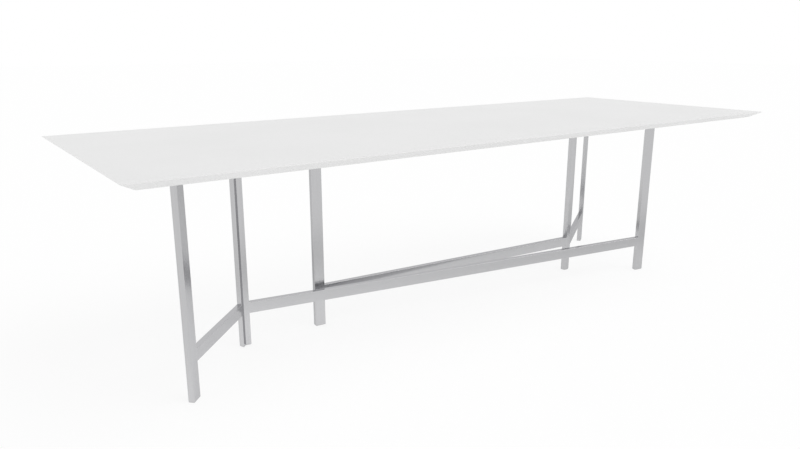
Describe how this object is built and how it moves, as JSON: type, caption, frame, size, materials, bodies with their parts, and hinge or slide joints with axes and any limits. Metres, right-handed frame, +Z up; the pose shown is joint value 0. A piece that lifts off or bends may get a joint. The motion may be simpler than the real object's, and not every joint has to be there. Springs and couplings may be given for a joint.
{
  "type": "dining table",
  "caption": "Long rectangular dining table: thin white top with an undercut bevelled edge on bent welded frames of flat satin steel bar with low stretchers.",
  "frame": {"origin": "on the floor, under the middle of the rectangular top", "axes": "+X along the length of the top, +Y across it towards the rear frame's short arm, +Z up"},
  "size_m": [2.8, 1, 0.74],
  "materials": {
    "white_lacquer": "matte white lacquer on board",
    "satin_steel": "brushed satin",
    "glide_nylon": "moulded, matte",
    "screw_steel": "bright zinc",
    "insert_brass": "turned"
  },
  "bodies": {
    "root": {"table_top": "white_lacquer", "front_left_leg": "satin_steel", "front_knee_post": "satin_steel", "front_right_leg": "satin_steel", "front_short_stretcher": "satin_steel", "front_long_stretcher": "satin_steel", "front_short_top_rail": "satin_steel", "front_long_top_rail": "satin_steel", "rear_left_leg": "satin_steel", "rear_knee_post": "satin_steel", "rear_right_leg": "satin_steel", "rear_long_stretcher": "satin_steel", "rear_short_stretcher": "satin_steel", "rear_long_top_rail": "satin_steel", "rear_short_top_rail": "satin_steel", "front_left_glide": "glide_nylon", "front_knee_glide": "glide_nylon", "front_right_glide": "glide_nylon", "rear_left_glide": "glide_nylon", "rear_knee_glide": "glide_nylon", "rear_right_glide": "glide_nylon", "rail_screws": "screw_steel", "top_inserts": "insert_brass"}
  },
  "joints": []
}
